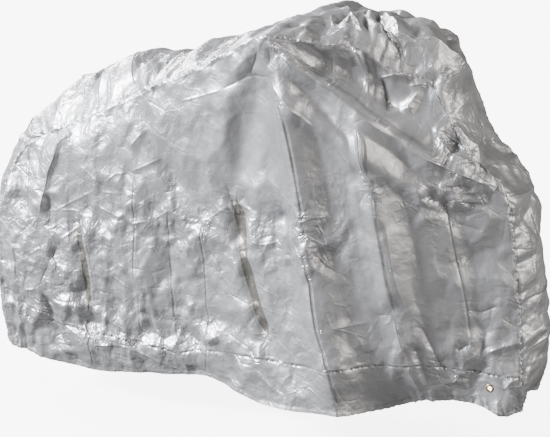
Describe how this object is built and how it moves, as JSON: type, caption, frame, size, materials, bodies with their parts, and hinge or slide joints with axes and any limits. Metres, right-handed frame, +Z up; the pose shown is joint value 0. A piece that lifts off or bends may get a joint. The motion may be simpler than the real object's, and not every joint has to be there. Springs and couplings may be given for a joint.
{
  "type": "bicycle cover",
  "caption": "Fitted hollow cover of silver-coated cloth with a top strip, side panels and low hem bands with brass eyelets, hanging in its folds.",
  "frame": {"origin": "point under the top strip above the rest that carries the cover", "axes": "+X to the front, +Y to the far side, +Z up"},
  "size_m": [1.82, 0.6051, 1.1366],
  "materials": {
    "top_strip_cloth": "silver-coated taffeta, crumpled",
    "side_cloth": "silver-coated taffeta, crumpled",
    "band_cloth": "silver-coated taffeta, gathered at the hem",
    "eyelet_brass": "pressed, slightly dull"
  },
  "bodies": {
    "root": {"top_strip": "top_strip_cloth", "side_near": "side_cloth", "side_far": "side_cloth", "band_near": "band_cloth", "band_far": "band_cloth", "eyelet_near": "eyelet_brass", "eyelet_far": "eyelet_brass"}
  },
  "joints": []
}
